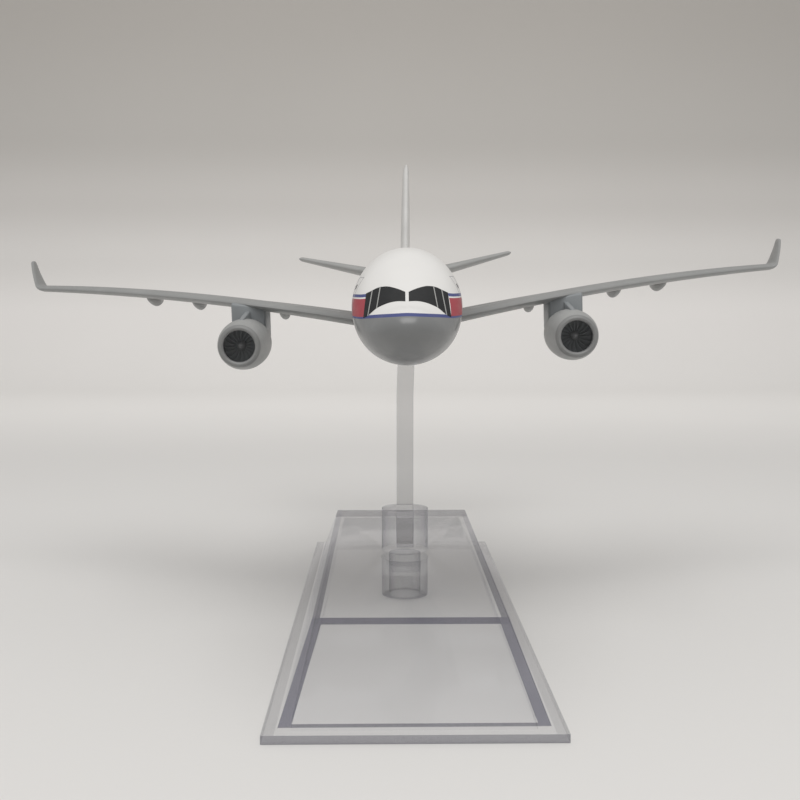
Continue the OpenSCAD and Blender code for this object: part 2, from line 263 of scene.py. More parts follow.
def lathe(profile, centre, segments=64, axis="Y"):
    """Solid of revolution about a line along axis through centre; profile is (radius, along)."""
    rings = []
    for k in range(segments):
        a = 2 * math.pi * k / segments
        c, s = math.cos(a), math.sin(a)
        if axis == "Y":
            rings.append([Vector((centre[0] + r * c, centre[1] + d, centre[2] + r * s)) for r, d in profile])
        else:
            rings.append([Vector((centre[0] + r * c, centre[1] + r * s, centre[2] + d)) for r, d in profile])
    n, m = len(profile), segments
    verts = [p for r in rings for p in r]
    faces = [
        (j * n + i, j * n + (i + 1) % n, ((j + 1) % m) * n + (i + 1) % n, ((j + 1) % m) * n + i)
        for j in range(m)
        for i in range(n)
    ]
    return verts, faces


def smooth_run(points, per=4):
    """More points along a smooth curve through the given ones."""
    out = []
    for i in range(len(points) - 1):
        p0 = points[max(i - 1, 0)]
        p1, p2 = points[i], points[i + 1]
        p3 = points[min(i + 2, len(points) - 1)]
        for k in range(per):
            t = k / per
            out.append(
                tuple(
                    0.5
                    * (
                        2 * b
                        + (c - a) * t
                        + (2 * a - 5 * b + 4 * c - d) * t * t
                        + (3 * b - 3 * c + d - a) * t**3
                    )
                    for a, b, c, d in zip(p0, p1, p2, p3)
                )
            )
    out.append(tuple(points[-1]))
    return out


def decal(name, grids, lift=0.035):
    """Thin printed pieces on the skin; each grid is rows of (y, angle)."""
    parts = []
    for rows in grids:
        n, m = len(rows[0]), len(rows)
        high = [skin(y, a) + skin_normal(y, a) * lift for row in rows for y, a in row]
        deep = [skin(y, a) - skin_normal(y, a) * 0.03 for row in rows for y, a in row]
        k = n * m
        faces = []
        for j in range(m - 1):
            for i in range(n - 1):
                q = (j * n + i, j * n + i + 1, (j + 1) * n + i + 1, (j + 1) * n + i)
                faces.append(q)
                faces.append(tuple(reversed([v + k for v in q])))
        rim = (
            list(range(n))
            + [j * n + n - 1 for j in range(1, m)]
            + [(m - 1) * n + i for i in range(n - 2, -1, -1)]
            + [j * n for j in range(m - 2, 0, -1)]
        )
        for a, b in zip(rim, rim[1:] + rim[:1]):
            faces.append((b, a, a + k, b + k))
        parts.append((high + deep, faces))
    return new_object(name, *join_parts(parts), sharp=50)


def ruled(low, high, n=10, m=8, spot=nose_spot):
    """Rows of spots between two polylines given as (x, z)."""

    def along(line, t):
        if len(line) == 2:
            return tuple(a + (b - a) * t for a, b in zip(line[0], line[1]))
        run = smooth_run(line, 8)
        k = min(int(t * (len(run) - 1)), len(run) - 2)
        f = t * (len(run) - 1) - k
        return tuple(a + (b - a) * f for a, b in zip(run[k], run[k + 1]))

    rows = []
    for j in range(m + 1):
        v = j / m
        row = []
        for i in range(n + 1):
            a, b = along(low, i / n), along(high, i / n)
            row.append(spot(a[0] + (b[0] - a[0]) * v, a[1] + (b[1] - a[1]) * v))
        rows.append(row)
    return rows


def cut(obj, cutters):
    """Takes closed cutter solids out of a piece."""
    for verts, faces in cutters:
        tool = new_object("cutter", verts, faces, UPRIGHT)
        mod = obj.modifiers.new("cut", "BOOLEAN")
        mod.operation = "DIFFERENCE"
        mod.solver = "EXACT"
        mod.object = tool
        bake(obj)
        bpy.data.objects.remove(tool)


def bake(obj):
    """Turns the modifiers into mesh."""
    depsgraph = bpy.context.evaluated_depsgraph_get()
    mesh = bpy.data.meshes.new_from_object(obj.evaluated_get(depsgraph))
    obj.modifiers.clear()
    obj.data = mesh


def softened(node, name, width, segments=2, sharp=30, flat=1.0):
    """A copy of a CAD node's mesh with its flat faces merged and its edges rounded."""
    mesh = NODES[node].data.copy()
    mesh.materials.clear()
    bm = bmesh.new()
    bm.from_mesh(mesh)
    bmesh.ops.remove_doubles(bm, verts=bm.verts, dist=1e-6)
    bmesh.ops.dissolve_limit(bm, angle_limit=math.radians(flat), verts=bm.verts, edges=bm.edges)
    edges = [
        e
        for e in bm.edges
        if len(e.link_faces) == 2 and e.calc_face_angle(0) > math.radians(sharp)
    ]
    bmesh.ops.bevel(
        bm,
        geom=edges,
        offset=width * MM,
        segments=segments,
        profile=0.5,
        affect="EDGES",
        clamp_overlap=True,
    )
    bm.to_mesh(mesh)
    bm.free()
    return add_object(name, mesh, 40)


# ---------------------------------------------------------------- materials
class Tree:
    """A material's node tree, with short calls for the nodes that repeat."""

    def __init__(self, name):
        self.mat = bpy.data.materials.new(name)
        self.mat.use_nodes = True
        self.nodes = self.mat.node_tree.nodes
        self.links = self.mat.node_tree.links
        self.nodes.clear()
        self.out = self.nodes.new("ShaderNodeOutputMaterial")
        self.coord = self.nodes.new("ShaderNodeTexCoord")

    def add(self, kind, inputs=(), **props):
        node = self.nodes.new(kind)
        for k, v in props.items():
            setattr(node, k, v)
        for k, v in dict(inputs).items():
            self.put(node.inputs[k], v)
        return node

    def put(self, socket, value):
        if isinstance(value, bpy.types.NodeSocket):
            self.links.new(value, socket)
        else:
            socket.default_value = value

    def noise(self, scale, detail=2.0, rough=0.5):
        return self.add(
            "ShaderNodeTexNoise",
            {
                "Vector": self.coord.outputs["Object"],
                "Scale": scale,
                "Detail": detail,
                "Roughness": rough,
            },
        ).outputs["Fac"]

    def spread(self, value, low, high, start=0.3, end=0.7):
        return self.add(
            "ShaderNodeMapRange",
            {
                "Value": value,
                "From Min": start,
                "From Max": end,
                "To Min": low,
                "To Max": high,
            },
        ).outputs["Result"]

    def math(self, op, a, b=0.0, c=0.0):
        return self.add("ShaderNodeMath", {0: a, 1: b, 2: c}, operation=op).outputs[0]

    def blend(self, fac, a, b):
        node = self.add("ShaderNodeMix", data_type="RGBA")
        self.put(node.inputs[0], fac)
        self.put(node.inputs[6], a)
        self.put(node.inputs[7], b)
        return node.outputs[2]

    def ramp(self, fac, stops, mode="CONSTANT"):
        node = self.add("ShaderNodeValToRGB", {"Fac": fac})
        node.color_ramp.interpolation = mode
        e = node.color_ramp.elements
        while len(e) > 1:
            e.remove(e[-1])
        e[0].position, e[0].color = stops[0]
        for pos, col in stops[1:]:
            e.new(pos).color = col
        return node.outputs["Color"]

    def bump(self, height, strength, distance, normal=None):
        node = self.add(
            "ShaderNodeBump", {"Height": height, "Strength": strength, "Distance": distance}
        )
        if normal is not None:
            self.put(node.inputs["Normal"], normal)
        return node.outputs["Normal"]


def shade(rgb, factor):
    return tuple(min(1, c * factor) for c in rgb[:3]) + (1.0,)


def paint(
    name,
    rgb,
    rough=0.35,
    coat=0.3,
    metal=0.0,
    grain=0.05,
    peel=0.015,
    round_edge=0.0,
    colour=None,
    gloss=0.5,
):
    """Sprayed or moulded finish: slight mottling, uneven gloss and orange peel.

    colour and coat may be functions that build their own nodes.
    """
    t = Tree(name)
    fine, wide = t.noise(1300, 2), t.noise(180, 2)
    if colour is None:
        colour = t.blend(t.spread(wide, 0, 1), shade(rgb, 1 - grain), shade(rgb, 1 + grain))
    else:
        colour = colour(t, wide)
    if callable(coat):
        coat = coat(t)
    normal = None
    if round_edge:
        normal = t.add("ShaderNodeBevel", {"Radius": round_edge * MM}, samples=4).outputs["Normal"]
    bsdf = t.add(
        "ShaderNodeBsdfPrincipled",
        {
            "Base Color": colour,
            "Roughness": t.spread(fine, rough * 0.88, rough * 1.12),
            "Metallic": metal,
            "Specular IOR Level": gloss,
            "Coat Weight": coat,
            "Coat Roughness": 0.24,
            "Normal": t.bump(fine, peel, 0.00002, normal),
        },
    )
    t.links.new(bsdf.outputs[0], t.out.inputs[0])
    return t.mat


WHITE = (0.76, 0.752, 0.735)
GREY = (0.168, 0.173, 0.173)
BLUE = (0.055, 0.07, 0.22)
RED = (0.37, 0.043, 0.06)

BELLY_COAT = 0.8

BAND_START = 6.15
BAND_SLANT = 0.83


def belly_coat(t):
    """Thick lacquer on the grey belly and hardly any on the white."""
    over = t.add("ShaderNodeAttribute", attribute_name="over_line").outputs["Fac"]
    return t.math("MULTIPLY_ADD", t.math("LESS_THAN", over, 0.0), BELLY_COAT - 0.05, 0.05)


def livery(t, wide):
    """Grey belly, a blue line, a red band, a blue line, white above."""
    over = t.add("ShaderNodeAttribute", attribute_name="over_line").outputs["Fac"]
    aft = t.add("ShaderNodeAttribute", attribute_name="aft").outputs["Fac"]
    level = t.spread(over, 0, 1, -1, 4)
    grey = shade(GREY, 1)
    white, blue, red = shade(WHITE, 1), shade(BLUE, 1), shade(RED, 1)
    nose = t.ramp(level, [(0, grey), (0.2, blue), (0.28, white)])
    cabin = t.ramp(
        level,
        [(0, grey), (0.2, blue), (0.25, red), (0.7, white), (0.74, blue), (0.82, white)],
    )
    start = t.math("SUBTRACT", aft, t.math("MULTIPLY", over, BAND_SLANT))
    behind = t.math("GREATER_THAN", start, BAND_START)
    flat = t.blend(behind, nose, cabin)
    dull = t.add("ShaderNodeMix", data_type="RGBA", blend_type="MULTIPLY")
    dull.inputs[0].default_value = 1
    t.put(dull.inputs[6], flat)
    t.put(
        dull.inputs[7],
        t.blend(t.spread(wide, 0, 1), (0.965, 0.965, 0.965, 1), (1, 1, 1, 1)),
    )
    return dull.outputs[2]


WING_GREY = (0.272, 0.276, 0.272)


def wing_tone(t, wide):
    """Mottled grey with painted shade over the last stretch to the body, where the body shades the wing
    root.
    """
    x = t.add("ShaderNodeSeparateXYZ", {0: t.coord.outputs["Object"]}).outputs[0]
    clear_of_root_shade = t.spread(t.math("ABSOLUTE", x), 0, 1, 0.008, 0.022)
    grey = t.blend(t.spread(wide, 0, 1), shade(WING_GREY, 0.95), shade(WING_GREY, 1.05))
    # Painted shade: the grey darkens to 0.6 towards the root, standing in for the body's shadow.
    return t.blend(clear_of_root_shade, shade(WING_GREY, 0.6), grey)


def clear_plastic(name, per_face, haze, edges=None):
    """Clear moulded plastic with a faint violet cast; edges, when given, alters its tint by place, with
    painted shade where the base's walls are seen edge-on.
    """
    t = Tree(name)
    fine = t.noise(900, 2)
    tint_with_painted_shade = t.blend(t.noise(60), shade(per_face, 0.985), shade(per_face, 1.01))
    # Painted shade from edges goes into the see-through tint here.
    if edges is not None:
        tint_with_painted_shade = edges(t, tint_with_painted_shade)
    turned = t.add("ShaderNodeLayerWeight", {"Blend": 0.5}).outputs["Facing"]
    shine = t.math("MULTIPLY_ADD", t.math("POWER", turned, 5.0), 0.6, 0.03)
    normal = t.bump(fine, 0.04, 0.00002)
    see = t.add("ShaderNodeBsdfTransparent", {"Color": tint_with_painted_shade})
    gloss = t.add(
        "ShaderNodeBsdfGlossy",
        {"Color": (0.9, 0.9, 0.92, 1), "Roughness": t.spread(fine, 0.05, 0.1), "Normal": normal},
    )
    milk = t.add("ShaderNodeBsdfTranslucent", {"Color": (0.75, 0.75, 0.74, 1), "Normal": normal})
    body_mix = t.add("ShaderNodeMixShader", {0: haze})
    t.links.new(see.outputs[0], body_mix.inputs[1])
    t.links.new(milk.outputs[0], body_mix.inputs[2])
    whole = t.add("ShaderNodeMixShader", {0: shine})
    t.links.new(body_mix.outputs[0], whole.inputs[1])
    t.links.new(gloss.outputs[0], whole.inputs[2])
    t.links.new(whole.outputs[0], t.out.inputs[0])
    return t.mat


# The base in the shared frame: its front edge, ridge, deck, sloping walls, flange and boss
BASE_FRONT = 72.2
RIDGE_Y = 25.2 - BASE_FRONT
DECK_Z = 9.0
WALL_SLOPE = 0.372
DECK_HALF = 14.6
FLANGE_TOP = 1.35
BOSS_REACH = 4.6
BOSS_TOP = 17.0
CLEARER = (0.985, 0.985, 0.988, 1)
# Painted shade: the plastic is tinted darker from the ridge back to here, where more walls lie behind each
# other
SHADE_END = 28.0


def base_edges(t, tint):
    """Painted shade on the base's walls seen edge-on: along the deck, down the front, at the ridge and the
    rim, and towards the rear.
    """
    place = t.add("ShaderNodeSeparateXYZ", {0: t.coord.outputs["Object"]})
    x, y, z = (t.math("MULTIPLY", place.outputs[i], 1000.0) for i in range(3))
    surface = t.add("ShaderNodeNewGeometry")
    facing = t.add("ShaderNodeSeparateXYZ", {0: surface.outputs["Normal"]})
    outer = t.math("SUBTRACT", 1.0, surface.outputs["Backfacing"])
    along = t.math("ABSOLUTE", facing.outputs[1])
    up = t.math("MULTIPLY", outer, t.math("GREATER_THAN", facing.outputs[2], 0.5))
    half = t.math("MULTIPLY_ADD", t.math("SUBTRACT", DECK_Z, z), WALL_SLOPE, DECK_HALF)
    inwards = t.math("SUBTRACT", half, t.math("ABSOLUTE", x))
    inside = t.math("GREATER_THAN", inwards, -0.3)
    before_ridge = t.math("LESS_THAN", y, RIDGE_Y)
    on_top = t.math("MULTIPLY", up, t.math("GREATER_THAN", z, FLANGE_TOP))

    def all_of(*facts):
        whole = facts[0]
        for f in facts[1:]:
            whole = t.math("MULTIPLY", whole, f)
        return whole

    def darker(tint, where, colour):
        return t.blend(where, tint, shade(colour, 1))

    near_side = t.math("LESS_THAN", inwards, t.math("MULTIPLY_ADD", before_ridge, 0.45, 1.15))
    down_front = all_of(on_top, inside, near_side, before_ridge)
    along_deck = all_of(on_top, inside, near_side, t.math("GREATER_THAN", y, RIDGE_Y))
    ridge = all_of(on_top, inside, before_ridge, t.math("GREATER_THAN", y, RIDGE_Y - 1.6))
    foot = all_of(
        up, inside, before_ridge, t.math("LESS_THAN", z, 1.5), t.math("GREATER_THAN", z, 1.28)
    )
    level = t.math("GREATER_THAN", along, 0.8)
    rear = all_of(level, t.math("GREATER_THAN", z, 7.4), t.math("GREATER_THAN", y, 35.0))
    rim = all_of(level, t.math("LESS_THAN", z, 1.2), t.math("LESS_THAN", y, 0.1 - BASE_FRONT))
    # Painted shade towards the rear of the deck and of the flange beside it.
    deck_shade = all_of(on_top, inside, t.spread(y, 0, 1, RIDGE_Y, SHADE_END))
    flange_rear_shade = all_of(up, t.math("SUBTRACT", 1.0, inside), t.spread(y, 0.5, 1, RIDGE_Y, SHADE_END))
    tint = darker(tint, deck_shade, (0.68, 0.685, 0.69))
    tint = darker(tint, flange_rear_shade, (0.68, 0.68, 0.69))
    # Painted shade where walls are seen edge-on: along the deck, at the rear, the rim, the foot, down the
    # front and at the ridge.
    tint = darker(tint, along_deck, (0.47, 0.47, 0.51))
    tint = darker(tint, rear, (0.34, 0.34, 0.37))
    tint = darker(tint, rim, (0.48, 0.48, 0.51))
    tint = darker(tint, foot, (0.42, 0.42, 0.46))
    tint = darker(tint, down_front, (0.40, 0.40, 0.46))
    return darker(tint, ridge, (0.36, 0.36, 0.42))


def boss_edges(t, tint):
    """The boss is clearer than the deck, with painted shade where its round wall turns away."""
    tint = base_edges(t, tint)
    turned = t.add("ShaderNodeLayerWeight", {"Blend": 0.5}).outputs["Facing"]
    place = t.coord.outputs["Object"]
    flat = t.add("ShaderNodeVectorMath", {0: place, 1: (1, 1, 0)}, operation="MULTIPLY")
    far = t.add("ShaderNodeVectorMath", {0: flat.outputs[0]}, operation="LENGTH").outputs["Value"]
    on_boss = t.math("LESS_THAN", far, BOSS_REACH * MM)
    clearer = t.blend(on_boss, tint, CLEARER)
    # Painted shade on the boss's round wall as it turns edge-on.
    depth = t.math("MULTIPLY", on_boss, t.math("POWER", turned, 1.3))
    return t.blend(depth, clearer, (0.66, 0.665, 0.69, 1))


def arm_foot(t, tint):
    """The arm is clearer where it stands in the boss."""
    z = t.add("ShaderNodeSeparateXYZ", {0: t.coord.outputs["Object"]}).outputs[2]
    return t.blend(t.math("LESS_THAN", z, BOSS_TOP * MM), tint, CLEARER)


skin_paint = paint("skin_paint", WHITE, rough=0.42, coat=belly_coat, colour=livery, gloss=0.4)
grey_paint = paint("grey_paint", GREY, rough=0.4, coat=BELLY_COAT)
wing_paint = paint("wing_paint", WING_GREY, rough=0.45, coat=0.08, colour=wing_tone)
# A lighter copy of the wing grey for the stabilisers: painted light, making up for the shade on their
# undersides.
wing_grey_lit_copy = paint("wing_grey_lit_copy", (0.34, 0.343, 0.336), rough=0.45, coat=0.08)
# The fin's white is given as a darker grey: painted shade.
white_shaded_copy = paint("white_shaded_copy", (0.62, 0.615, 0.60), rough=0.4, coat=0.1)
engine_paint = paint("engine_paint", (0.33, 0.335, 0.33), rough=0.45, coat=0.1)
lip_paint = paint("lip_paint", (0.215, 0.218, 0.215), rough=0.42, coat=0.1)
duct_paint = paint("duct_paint", (0.155, 0.16, 0.163), rough=0.6, coat=0.0)
fan_metal = paint("fan_metal", (0.23, 0.24, 0.247), rough=0.55, coat=0.0)
hub_paint = paint("hub_paint", (0.2, 0.203, 0.207), rough=0.5, coat=0.0)
core_metal = paint("core_metal", (0.17, 0.165, 0.155), rough=0.45, metal=0.5, coat=0.0)
pylon_paint = paint("pylon_paint", (0.235, 0.252, 0.262), rough=0.42, coat=0.1)
pane_paint = paint("pane_paint", (0.014, 0.015, 0.016), rough=0.5, coat=0.0, gloss=0.25)
post_paint = paint("post_paint", (0.34, 0.34, 0.33), rough=0.45, coat=0.0)
line_paint = paint("line_paint", (0.45, 0.45, 0.46), rough=0.5, coat=0.0)
zinc = paint("zinc", (0.34, 0.35, 0.36), rough=0.5, metal=0.8, coat=0.0, round_edge=0.1)
screw_steel = paint("screw_steel", (0.45, 0.45, 0.46), rough=0.3, metal=1.0, coat=0.0, round_edge=0.06)
black_plastic = paint("black_plastic", (0.03, 0.03, 0.032), rough=0.45, coat=0.0)
clear_base = clear_plastic("clear_base", (0.968, 0.969, 0.974), 0.01, boss_edges)
clear_arm = clear_plastic("clear_arm", (0.87, 0.87, 0.872), 0.1, arm_foot)


# ---------------------------------------------------------------- fuselage shells
def shell(name, node, low, high, slot_name, mat):
    """A half of the cast body, between the angles that low and high give for the split."""
    runs = [0.02 + i * (math.sqrt(BODY_L) - 0.02) / 126 for i in range(127)]
    ys = [s * s for s in runs]
    n = 60
    rings = []
    for y in ys:
        a = split_angle(y)
        start, end = low(a), high(a)
        outer = [skin(y, start + (end - start) * i / n) for i in range(n + 1)]
        inner = [skin(y, end + (start - end) * i / n, -WALL) for i in range(n + 1)]
        rings.append(outer + inner)
    verts, faces = loft(rings, caps=False)
    faces += shell_caps(len(rings[0]), len(rings))
    obj = new_object(name, verts, faces)
    mark_livery(obj)
    return finish_piece(obj, "aircraft", slot_name, [mat], node)


def mark_livery(obj):
    """Stores how far each vertex is over the livery's line, and how far aft."""
    mesh = obj.data
    over = mesh.attributes.new("over_line", "FLOAT", "POINT")
    aft = mesh.attributes.new("aft", "FLOAT", "POINT")
    back = SEAT.inverted()
    for v in mesh.vertices:
        p = back @ (v.co / MM)
        over.data[v.index].value = over_line(p)
        aft.data[v.index].value = p.y


SHOULDER_Z = SEAT_H - CABIN_H - 0.85
BUSH_R = 2.5
BUSH_L = 7.0
bush_hole = lathe(
    [(0.001, -3), (BUSH_R + 0.03, -3), (BUSH_R + 0.03, BUSH_L + 0.1), (0.001, BUSH_L + 0.1)],
    (ARM_BEND, 0, SHOULDER_Z),
    48,
    "Z",
)

shell(
    "fuselage_upper_skin",
    "fuselage_upper",
    lambda a: a + 0.1,
    lambda a: 180 - a - 0.1,
    "white_paint",
    skin_paint,
)
lower = shell(
    "fuselage_lower_skin",
    "fuselage_lower",
    lambda a: -180 - a,
    lambda a: a,
    "grey_paint",
    skin_paint,
)
cut(lower, [bush_hole])


# ---------------------------------------------------------------- belly fairing
def ease(t):
    u = max(0.0, min(1.0, t))
    return u * u * (3 - 2 * u)


# Where the fairing starts, reaches its full depth, begins to fade and ends, along the body
FAIRING = (36, 48, 82, 98)


def fairing_rings():
    rings = []
    for k in range(53):
        y = FAIRING[0] + (FAIRING[3] - FAIRING[0]) * k / 52
        w, mid, tall = body(y)
        f = ease((y - FAIRING[0]) / (FAIRING[1] - FAIRING[0])) * (
            1 - ease((y - FAIRING[2]) / (FAIRING[3] - FAIRING[2]))
        )
        rim = min(1, (y - FAIRING[0]) / 1.2, (FAIRING[3] - y) / 1.2)
        rim = 0.15 + 0.85 * math.sqrt(max(rim, 0))
        e = 1 - 0.5 * f
        n = 48
        start = 10 - 7 * f
        outer = []
        for i in range(n + 1):
            a = math.radians(start - 180 + (180 - 2 * start) * i / n)
            outer.append(
                Vector(
                    (
                        math.copysign(1, math.cos(a))
                        * (w + (0.45 + 0.17 * f) * rim)
                        * abs(math.cos(a)) ** e,
                        y,
                        mid - (tall + (0.45 + 0.25 * f) * rim) * abs(math.sin(a)) ** e,
                    )
                )
            )
        inner = [skin(y, -9.5 - 161 * i / n, 0.02) for i in range(n + 1)]
        rings.append(outer + inner)
    return rings


rings = fairing_rings()
verts, faces = loft(rings, caps=False)
faces += shell_caps(len(rings[0]), len(rings))
fairing = new_object("belly_fairing_skin", verts, faces, sharp=40)
cut(fairing, [bush_hole])
finish_piece(fairing, "aircraft", "grey_paint", [grey_paint], "belly_fairing")


# ---------------------------------------------------------------- wings
ROOT_X = 8.2
TIP_X = 75.3
ROOT_Y = 48.0
SWEEP = 0.65
ROOT_Z = -3.35
KINK_X = 26.0
FOIL_TAIL = 0.012
WING_CANT = 7


def foil_half(t, u):
    """Half thickness of an ordinary four-digit airfoil of thickness t at share u of its chord."""
    return t * 5 * (0.2969 * math.sqrt(u) - 0.126 * u - 0.3516 * u**2 + 0.2843 * u**3 - 0.0936 * u**4)


def foil(t, n=18):
    """Airfoil ring of unit chord from the trailing edge, below to the nose and back on top."""

    us = [(1 + math.cos(math.pi * i / n)) / 2 for i in range(n + 1)]
    under = [(u, -0.8 * foil_half(t, u) - FOIL_TAIL * u) for u in us]
    return under + [(u, foil_half(t, u) + FOIL_TAIL * u) for u in us[-2::-1]]


def foil_ring(le, chord, t, twist, cant):
    tw, ca = math.radians(twist), math.radians(cant)
    ring = []
    for u, v in foil(t):
        a = chord * (u * math.cos(tw) + v * math.sin(tw))
        b = chord * (v * math.cos(tw) - u * math.sin(tw))
        ring.append(Vector((le[0] - b * math.sin(ca), le[1] + a, le[2] + b * math.cos(ca))))
    return ring


def lead_y(x):
    return ROOT_Y + SWEEP * (x - ROOT_X)


def trail_y(x):
    if x < KINK_X:
        return 77.5 + 3 * (x - ROOT_X) / (KINK_X - ROOT_X)
    return 80.5 + 20.3 * (x - KINK_X) / (TIP_X - KINK_X)


def wing_z(x):
    s = x - ROOT_X
    return ROOT_Z + 0.169 * s - 0.00093 * s * s


def wing_thickness(x):
    return 0.08 + 0.07 * (x / TIP_X) ** 1.5


def wing_section(x):
    """Chord, twist in degrees and leading edge of the wing at x."""
    chord = trail_y(x) - lead_y(x)
    twist = 2 - 1.5 * x / TIP_X
    return chord, twist, (x, lead_y(x), wing_z(x) + 0.4 * chord * math.sin(math.radians(twist)))


def wing_ring(x):
    chord, twist, le = wing_section(x)
    return foil_ring(le, chord, wing_thickness(x), twist, WING_CANT)


# Winglet: x outwards, y and z of the leading edge, chord, thickness share and cant
def winglet_run():
    y0, z0 = lead_y(TIP_X), wing_z(TIP_X)
    key = [
        (TIP_X, y0, z0 + 0.03, 9.0, 0.15, 7),
        (TIP_X + 0.8, y0 + 0.65, z0 + 0.15, 8.0, 0.135, 18),
        (TIP_X + 1.5, y0 + 1.3, z0 + 0.6, 7.1, 0.12, 42),
        (TIP_X + 2.05, y0 + 2.3, z0 + 1.5, 6.1, 0.12, 62),
        (TIP_X + 3.1, y0 + 4.5, z0 + 3.6, 4.5, 0.16, 67),
        (TIP_X + 3.9, y0 + 6.6, z0 + 5.5, 3.0, 0.24, 68),
        (TIP_X + 4.05, y0 + 7.3, z0 + 5.9, 2.1, 0.22, 69),
    ]
    return smooth_run(key, 4)


def flap_track(x):
    y, z = trail_y(x), wing_z(x)
    path = smooth_run(
        [
            (y - 8.6, z - 0.75, 0.12),
            (y - 7, z - 1.05, 0.55),
            (y - 4, z - 1.5, 0.9),
            (y - 0.5, z - 1.9, 1.0),
            (y + 2.5, z - 1.8, 0.75),
            (y + 4.8, z - 1.62, 0.35),
            (y + 5.3, z - 1.58, 0.08),
        ],
        4,
    )
    rings = [
        [
            Vector((x + r * 0.78 * math.cos(a), py, pz + 0.15 + r * 0.85 * math.sin(a)))
            for a in (2 * math.pi * i / 20 for i in range(20))
        ]
        for py, pz, r in path
    ]
    return loft(rings)


TRACK_XS = (23.7, 41.5, 51.3)


def wing_parts(side):
    xs = [6.9, 7.5] + [ROOT_X + (TIP_X - ROOT_X) * i / 60 for i in range(61)]
    rings = [wing_ring(x) for x in xs]
    rings += [foil_ring(k[:3], k[3], k[4], 0.4, k[5]) for k in winglet_run()[1:]]
    tab = loft(
        [
            [Vector((x, y, z)) for y, z in ((58, -4.05), (74, -4.05), (74, -2.65), (58, -2.65))]
            for x in (2.8, 7.2)
        ]
    )
    parts = [loft(rings), tab] + [flap_track(x) for x in TRACK_XS]
    verts, faces = join_parts(parts)
    if side < 0:
        verts = [Vector((-v.x, v.y, v.z)) for v in verts]
    return verts, faces


for side, word in ((1, "left"), (-1, "right")):
    wing = new_object(word + "_wing_skin", *wing_parts(side), sharp=45)
    finish_piece(wing, "aircraft", "wing_grey_paint", [wing_paint], word + "_wing")


def surface_lines(side):
    """Hinge lines of the flaps, slats and ailerons, as thin strips on the wing's top."""
    runs = []

    def top_at(x, share):
        chord, twist, le = wing_section(x)
        tw, ca = math.radians(twist), math.radians(WING_CANT)
        v = foil_half(wing_thickness(x), share) + FOIL_TAIL * share
        a = chord * (share * math.cos(tw) + v * math.sin(tw))
        b = chord * (v * math.cos(tw) - share * math.sin(tw))
        return Vector((side * (x - b * math.sin(ca)), le[1] + a, le[2] + b * math.cos(ca)))

    for x0, x1, share0, share1 in (
        (9.5, 24, 0.76, 0.72),
        (27.5, 49, 0.74, 0.72),
        (50, 70, 0.72, 0.7),
        (11, 27, 0.10, 0.14),
        (30, 75, 0.15, 0.22),
    ):
        n = 24
        near = [
            top_at(x0 + (x1 - x0) * i / n, share0 + (share1 - share0) * i / n) for i in range(n + 1)
        ]
        runs.append(near)
    ends = ((24, 0.72, 0.99), (27.5, 0.74, 0.99), (49, 0.72, 0.99), (50, 0.72, 0.99), (70, 0.7, 0.99))
    for x, a, b in ends:
        runs.append([top_at(x, a + (b - a) * i / 12) for i in range(13)])
    parts = []
    for run in runs:
        rings = []
        for i, p in enumerate(run):
            d = (run[min(i + 1, len(run) - 1)] - run[max(i - 1, 0)]).normalized()
            across = d.cross(Vector((0, 0, 1))).normalized() * 0.055
            up = Vector((0, 0, 0.02))
            rings.append([p - across - up, p + across - up, p + across + up, p - across + up])
        parts.append(loft(rings))
    return join_parts(parts)


for side, word in ((1, "left"), (-1, "right")):
    lines = new_object(word + "_wing_lines", *surface_lines(side))
    finish_piece(lines, "aircraft", "dark_paint", [line_paint])


# ---------------------------------------------------------------- engines
ENGINE = (28.4, 49.0, -6.8)
COWL_R = 4.4
DUCT_R = 3.1
CORE_R = 2.6


def engine_centre(side, aft=0.0):
    return (side * ENGINE[0], ENGINE[1] + aft, ENGINE[2])


cowl_outside = smooth_run(
    [
        (2.72, 0.2),
        (3.02, 0.0),
        (3.28, 0.1),
        (3.62, 0.6),
        (4.05, 2.6),
        (4.3, 4.6),
        (COWL_R, 7),
        (4.3, 10),
        (3.95, 13),
    ],
    5,
)
cowl_inside = [(3.62, 13), (3.4, 11.5), (3.1, 9), (DUCT_R, 6), (DUCT_R, 2.6)]
cowl_throat = smooth_run([(DUCT_R, 2.4), (2.85, 1.6), (2.64, 0.8), (2.72, 0.2)], 4)
cowl_profile = cowl_outside + cowl_inside + cowl_throat[:-1]

for side, word in ((1, "left"), (-1, "right")):
    cowl = new_object(word + "_nacelle_skin", *lathe(cowl_profile, engine_centre(side), 96), sharp=40)
    finish_piece(
        cowl, "aircraft", "engine_paint", [engine_paint, lip_paint, duct_paint], word + "_nacelle"
    )
    inlet = SEAT @ Vector(engine_centre(side))
    axis = (SEAT.to_3x3() @ Vector((0, 1, 0))).normalized()
    for poly in cowl.data.polygons:
        d = poly.center / MM - inlet
        along = d.dot(axis)
        r = (d - axis * along).length
        if along < 0.75 and r > 2.7:
            poly.material_index = 1
        elif r < 3.5 and along > 0.25 and poly.normal.dot(d - axis * along) < 0:
            poly.material_index = 2


FAN_Y = 3.4
BLADES = 18


